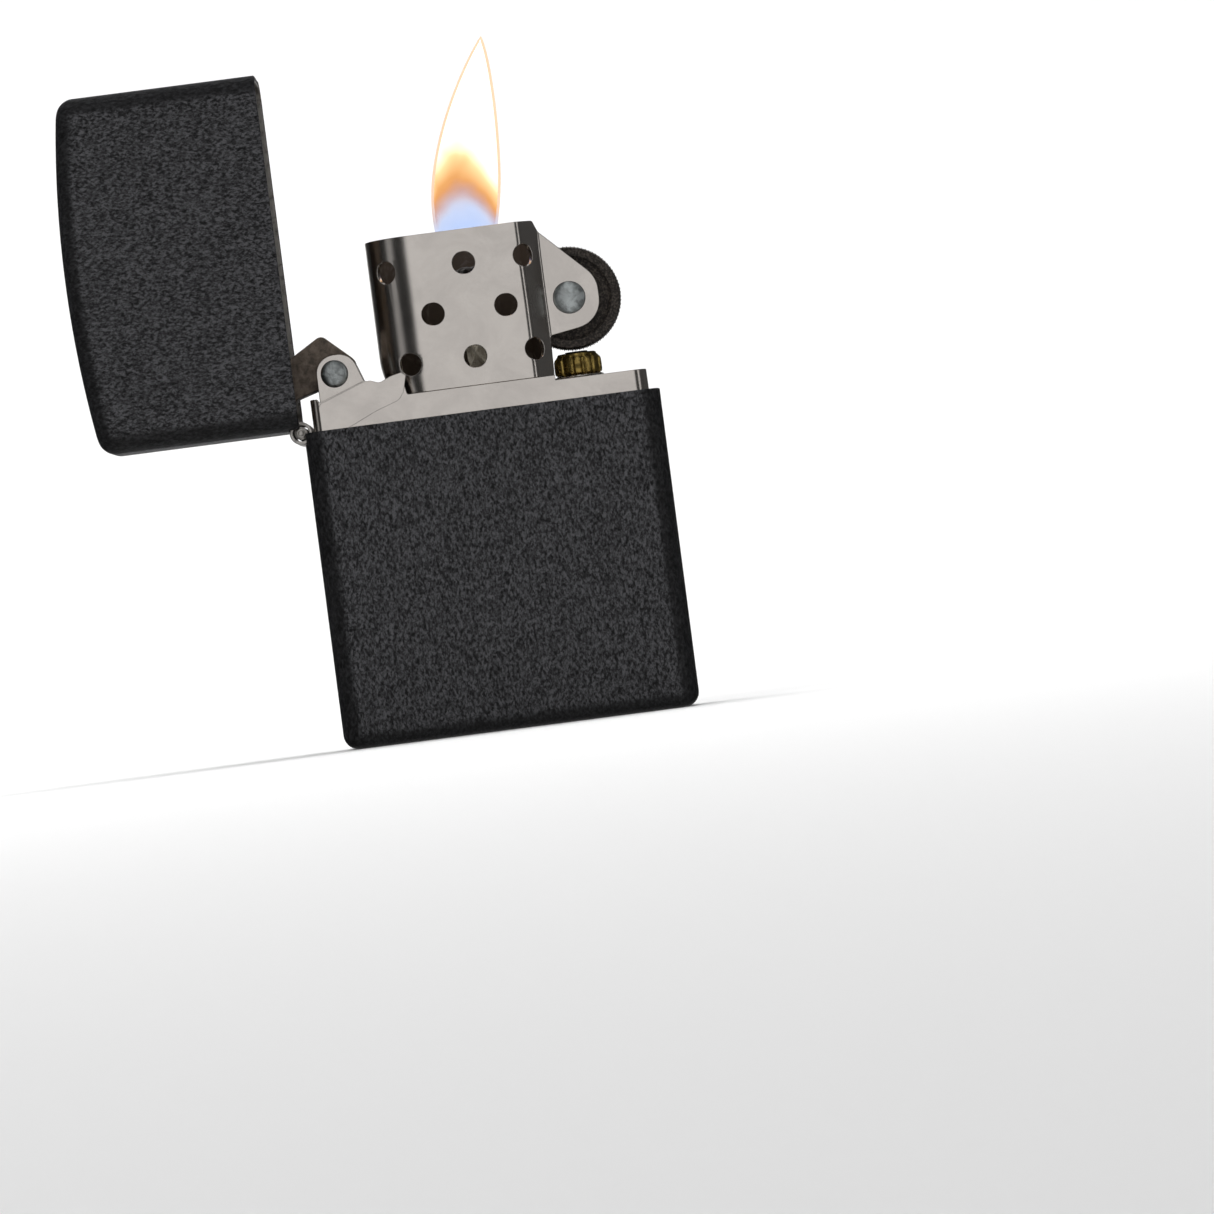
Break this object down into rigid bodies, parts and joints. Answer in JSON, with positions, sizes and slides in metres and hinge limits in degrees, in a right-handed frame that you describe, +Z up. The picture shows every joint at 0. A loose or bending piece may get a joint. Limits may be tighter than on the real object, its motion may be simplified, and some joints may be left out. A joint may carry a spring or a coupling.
{
  "type": "flip-top petrol lighter",
  "caption": "Pocket petrol lighter with a hinged flip-top lid, a perforated wind chimney, a striker wheel and a fuel-packed inner unit that slides out of the case.",
  "frame": {"origin": "centre of the case's flat bottom face", "axes": "+Z up, -X towards the hinge, +X towards the striker wheel, the front face looks along -Y"},
  "size_m": [0.0612, 0.0126, 0.0725],
  "materials": {
    "case_finish": "black crackle powder coat",
    "insert_metal": "satin nickel-coloured steel",
    "hinge_metal": "dull plated steel",
    "rivet_metal": "spun",
    "cam_steel": "dark oxide",
    "wheel_steel": "blackened, finely toothed",
    "flint_tube_brass": "aged",
    "spring_steel": "bright",
    "flint_alloy": "dull grey",
    "wick_fibre": "braided, charred at the tip",
    "packing_cotton": "loose cotton",
    "felt": "pressed felt"
  },
  "bodies": {
    "case": {"case_shell": "case_finish", "case_hinge_leaf": "hinge_metal", "hinge_pin": "hinge_metal"},
    "lid": {"lid_shell": "case_finish", "lid_hinge_leaf": "hinge_metal"},
    "insert": {"insert_tank": "insert_metal", "tank_cover": "insert_metal", "chimney": "insert_metal", "cam_bracket": "insert_metal", "cam_rivet": "rivet_metal", "cam_spring": "spring_steel", "cam_spring_rivet": "rivet_metal", "wheel_rivet": "rivet_metal", "flint_tube": "flint_tube_brass", "flint_spring": "spring_steel", "wick": "wick_fibre", "felt_pad": "felt", "packing_1": "packing_cotton", "packing_2": "packing_cotton", "packing_3": "packing_cotton", "packing_4": "packing_cotton", "packing_5": "packing_cotton"},
    "cam": {"cam": "cam_steel"},
    "wheel": {"flint_wheel": "wheel_steel"},
    "flint": {"flint": "flint_alloy", "flint_spring_tip": "flint_tube_brass"},
    "flint_screw": {"flint_screw": "flint_tube_brass"}
  },
  "joints": [
    {"name": "lid_hinge", "type": "hinge", "parent": "case", "child": "lid", "pos_m": [-0.01935, 0, 0.03408], "axis": [0, -1, 0], "range_deg": [-90, 0]},
    {"name": "insert_slide", "type": "slide", "parent": "case", "child": "insert", "axis": [0, 0, 1], "range_m": [0, 0.029]},
    {"name": "cam_pivot", "type": "hinge", "parent": "insert", "child": "cam", "pos_m": [-0.01508, 0, 0.03995], "axis": [0, -1, 0], "range_deg": [-104, 0]},
    {"name": "wheel_spin", "type": "hinge", "parent": "insert", "child": "wheel", "pos_m": [0.01075, 0, 0.0448], "axis": [0, 1, 0], "continuous": true},
    {"name": "flint_feed", "type": "slide", "parent": "insert", "child": "flint", "axis": [0, 0, 1], "range_m": [-0.002, 0], "stiffness_N_per_m": 200, "springref_m": 0.01, "deforming": ["flint_spring"]},
    {"name": "flint_screw_turn", "type": "hinge", "parent": "insert", "child": "flint_screw", "pos_m": [0.01075, 0, 0.0019], "axis": [0, 0, 1], "continuous": true}
  ],
  "couplings": [
    {"joint": "cam_pivot", "follows": "lid_hinge", "ratio": 1.15}
  ]
}
